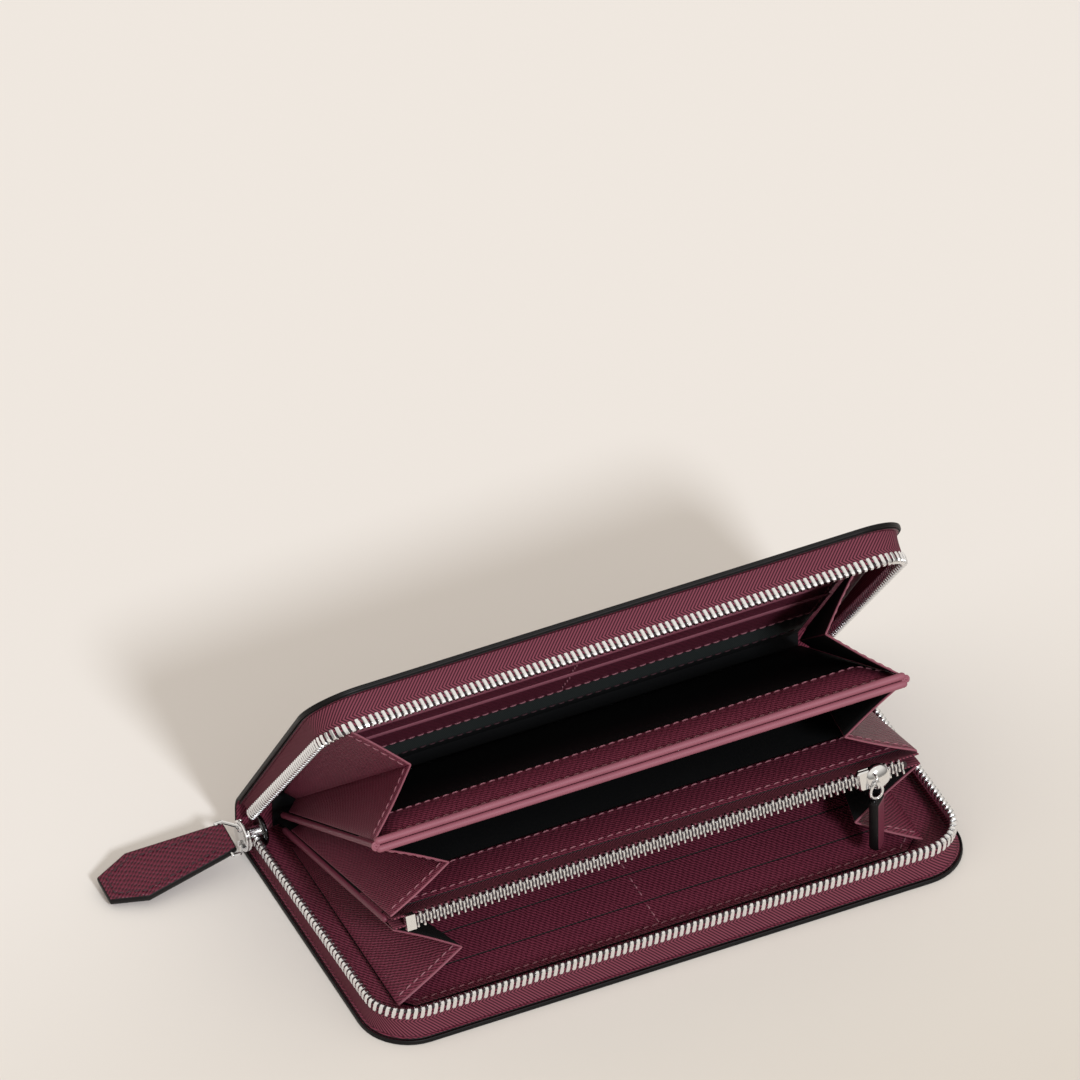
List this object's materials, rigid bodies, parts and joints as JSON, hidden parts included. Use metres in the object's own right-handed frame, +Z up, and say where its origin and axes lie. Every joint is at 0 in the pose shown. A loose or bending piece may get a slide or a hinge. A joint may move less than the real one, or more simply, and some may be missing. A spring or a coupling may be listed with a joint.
{
  "type": "zip around wallet",
  "caption": "Long zip around wallet in cross-grain leather, lying open, with card panels, a divider, a zipped coin pocket, folding side gussets and a leather pull tab.",
  "frame": {"origin": "middle of the lower cover's underside, on the surface that the wallet lies on", "axes": "+X along the zip's long side towards the coin zip's slider, +Y towards the spine, +Z up"},
  "size_m": [0.2409, 0.1065, 0.102],
  "materials": {
    "cross_grain_leather": "embossed cross grain, satin",
    "smooth_leather": "fine grain, satin",
    "black_lining": "plain woven lining, matt",
    "grosgrain_ribbon": "ribbed ribbon, matt",
    "zip_tape": "twill woven tape, matt",
    "zip_metal": "polished nickel-coloured teeth",
    "bright_metal": "polished casting and wire"
  },
  "bodies": {
    "lower_half": {"lower_cover": "cross_grain_leather", "lower_facing": "cross_grain_leather", "spine_panel": "cross_grain_leather", "spine_lining": "black_lining", "lower_zip_tape": "zip_tape", "lower_zip_teeth": "zip_metal", "lower_card_header": "cross_grain_leather", "lower_card_slot_front": "cross_grain_leather", "lower_card_slot_rear": "cross_grain_leather", "outer_slider": "bright_metal"},
    "upper_half": {"upper_cover": "cross_grain_leather", "upper_facing": "cross_grain_leather", "upper_zip_tape": "zip_tape", "upper_zip_teeth": "zip_metal", "upper_card_header": "smooth_leather", "upper_card_slot_front": "smooth_leather", "upper_card_slot_rear": "smooth_leather", "upper_lining_ribbon": "grosgrain_ribbon"},
    "divider": {"divider_upper_panel": "smooth_leather", "divider_lower_panel": "smooth_leather"},
    "coin_pocket": {"coin_pocket_upper_panel": "cross_grain_leather", "coin_pocket_lower_panel": "cross_grain_leather", "coin_zip_upper_tape": "zip_tape", "coin_zip_lower_tape": "zip_tape", "coin_zip_teeth": "zip_metal", "coin_zip_stop": "zip_metal"},
    "coin_slider": {"coin_slider": "bright_metal"},
    "coin_pull": {"coin_pull_link": "bright_metal", "coin_pull_strap": "cross_grain_leather"},
    "pull_bail": {"pull_bail": "bright_metal"},
    "pull_tab": {"pull_tab": "cross_grain_leather"},
    "left_gusset_1_upper": {"left_gusset_1_upper": "cross_grain_leather"},
    "left_gusset_1_lower": {"left_gusset_1_lower": "cross_grain_leather"},
    "left_gusset_2_upper": {"left_gusset_2_upper": "cross_grain_leather"},
    "left_gusset_2_lower": {"left_gusset_2_lower": "cross_grain_leather"},
    "left_gusset_3_upper": {"left_gusset_3_upper": "cross_grain_leather"},
    "left_gusset_3_lower": {"left_gusset_3_lower": "cross_grain_leather"},
    "right_gusset_1_upper": {"right_gusset_1_upper": "cross_grain_leather"},
    "right_gusset_1_lower": {"right_gusset_1_lower": "cross_grain_leather"},
    "right_gusset_2_upper": {"right_gusset_2_upper": "cross_grain_leather"},
    "right_gusset_2_lower": {"right_gusset_2_lower": "cross_grain_leather"},
    "right_gusset_3_upper": {"right_gusset_3_upper": "cross_grain_leather"},
    "right_gusset_3_lower": {"right_gusset_3_lower": "cross_grain_leather"}
  },
  "joints": [
    {"name": "upper_cover_hinge", "type": "hinge", "parent": "lower_half", "child": "upper_half", "pos_m": [0, 0.0516, 0.0137], "axis": [-1, 0, 0], "range_deg": [-51.6, 8]},
    {"name": "divider_hinge", "type": "hinge", "parent": "lower_half", "child": "divider", "pos_m": [0, 0.049, 0.0094], "axis": [-1, 0, 0], "range_deg": [-30.2, 5.53]},
    {"name": "coin_pocket_hinge", "type": "hinge", "parent": "lower_half", "child": "coin_pocket", "pos_m": [0, 0.049, 0.0057], "axis": [-1, 0, 0], "range_deg": [-17.6, 3.57]},
    {"name": "coin_slider_travel", "type": "slide", "parent": "coin_pocket", "child": "coin_slider", "axis": [1, 0, 0], "range_m": [-0.13, 0]},
    {"name": "coin_pull_swing", "type": "hinge", "parent": "coin_slider", "child": "coin_pull", "pos_m": [0.069, -0.04117, 0.03439], "axis": [0, 1, 0], "range_deg": [-15, 91]},
    {"name": "pull_bail_swing", "type": "hinge", "parent": "lower_half", "child": "pull_bail", "pos_m": [-0.09885, 0.0445, 0.0086], "axis": [0, 0, 1], "range_deg": [-35, 35]},
    {"name": "pull_tab_lift", "type": "hinge", "parent": "pull_bail", "child": "pull_tab", "pos_m": [-0.10475, 0.0445, 0.0092], "axis": [0, 0.988, 0.1544], "range_deg": [0, 70]},
    {"name": "left_gusset_1_upper_fold", "type": "hinge", "parent": "upper_half", "child": "left_gusset_1_upper", "pos_m": [-0.0855, 0.04306, 0.02246], "axis": [0, -0.5446, 0.8387], "range_deg": [-7.42, 42.38]},
    {"name": "left_gusset_1_lower_fold", "type": "hinge", "parent": "divider", "child": "left_gusset_1_lower", "pos_m": [-0.0855, 0.03967, 0.01707], "axis": [0, -0.8387, 0.5446], "range_deg": [-41.74, 7.32]},
    {"name": "left_gusset_2_upper_fold", "type": "hinge", "parent": "divider", "child": "left_gusset_2_upper", "pos_m": [-0.0855, 0.0382, 0.0148], "axis": [0, -0.8387, 0.5446], "range_deg": [-4.67, 24.67]},
    {"name": "left_gusset_2_lower_fold", "type": "hinge", "parent": "coin_pocket", "child": "left_gusset_2_lower", "pos_m": [-0.0855, 0.03807, 0.01085], "axis": [0, -0.9425, 0.3341], "range_deg": [-24.61, 4.66]},
    {"name": "left_gusset_3_upper_fold", "type": "hinge", "parent": "coin_pocket", "child": "left_gusset_3_upper", "pos_m": [-0.0855, 0.03721, 0.00829], "axis": [0, -0.9506, 0.3104], "range_deg": [-5.6, 30.64]},
    {"name": "left_gusset_3_lower_fold", "type": "hinge", "parent": "lower_half", "child": "left_gusset_3_lower", "pos_m": [-0.0855, 0.037, 0.00419], "axis": [0, -1, 0], "range_deg": [-31.04, 5.66]},
    {"name": "right_gusset_1_upper_fold", "type": "hinge", "parent": "upper_half", "child": "right_gusset_1_upper", "pos_m": [0.0855, 0.04306, 0.02246], "axis": [0, -0.5446, 0.8387], "range_deg": [-42.38, 7.42]},
    {"name": "right_gusset_1_lower_fold", "type": "hinge", "parent": "divider", "child": "right_gusset_1_lower", "pos_m": [0.0855, 0.03967, 0.01707], "axis": [0, -0.8387, 0.5446], "range_deg": [-7.32, 41.74]},
    {"name": "right_gusset_2_upper_fold", "type": "hinge", "parent": "divider", "child": "right_gusset_2_upper", "pos_m": [0.0855, 0.0382, 0.0148], "axis": [0, -0.8387, 0.5446], "range_deg": [-24.67, 4.67]},
    {"name": "right_gusset_2_lower_fold", "type": "hinge", "parent": "coin_pocket", "child": "right_gusset_2_lower", "pos_m": [0.0855, 0.03807, 0.01085], "axis": [0, -0.9425, 0.3341], "range_deg": [-4.66, 24.61]},
    {"name": "right_gusset_3_upper_fold", "type": "hinge", "parent": "coin_pocket", "child": "right_gusset_3_upper", "pos_m": [0.0855, 0.03721, 0.00829], "axis": [0, -0.9506, 0.3104], "range_deg": [-30.64, 5.6]},
    {"name": "right_gusset_3_lower_fold", "type": "hinge", "parent": "lower_half", "child": "right_gusset_3_lower", "pos_m": [0.0855, 0.037, 0.00419], "axis": [0, -1, 0], "range_deg": [-5.66, 31.04]}
  ],
  "couplings": [
    {"joint": "divider_hinge", "follows": "upper_cover_hinge", "ratio": 0.5659},
    {"joint": "coin_pocket_hinge", "follows": "upper_cover_hinge", "ratio": 0.3217},
    {"joint": "coin_pull_swing", "follows": "upper_cover_hinge", "ratio": -1.7442},
    {"joint": "left_gusset_1_upper_fold", "follows": "upper_cover_hinge", "ratio": -0.802},
    {"joint": "left_gusset_1_lower_fold", "follows": "upper_cover_hinge", "ratio": 0.7895},
    {"joint": "left_gusset_2_upper_fold", "follows": "upper_cover_hinge", "ratio": -0.4587},
    {"joint": "left_gusset_2_lower_fold", "follows": "upper_cover_hinge", "ratio": 0.4576},
    {"joint": "left_gusset_3_upper_fold", "follows": "upper_cover_hinge", "ratio": -0.5744},
    {"joint": "left_gusset_3_lower_fold", "follows": "upper_cover_hinge", "ratio": 0.5821},
    {"joint": "right_gusset_1_upper_fold", "follows": "upper_cover_hinge", "ratio": 0.802},
    {"joint": "right_gusset_1_lower_fold", "follows": "upper_cover_hinge", "ratio": -0.7895},
    {"joint": "right_gusset_2_upper_fold", "follows": "upper_cover_hinge", "ratio": 0.4587},
    {"joint": "right_gusset_2_lower_fold", "follows": "upper_cover_hinge", "ratio": -0.4576},
    {"joint": "right_gusset_3_upper_fold", "follows": "upper_cover_hinge", "ratio": 0.5744},
    {"joint": "right_gusset_3_lower_fold", "follows": "upper_cover_hinge", "ratio": -0.5821}
  ]
}
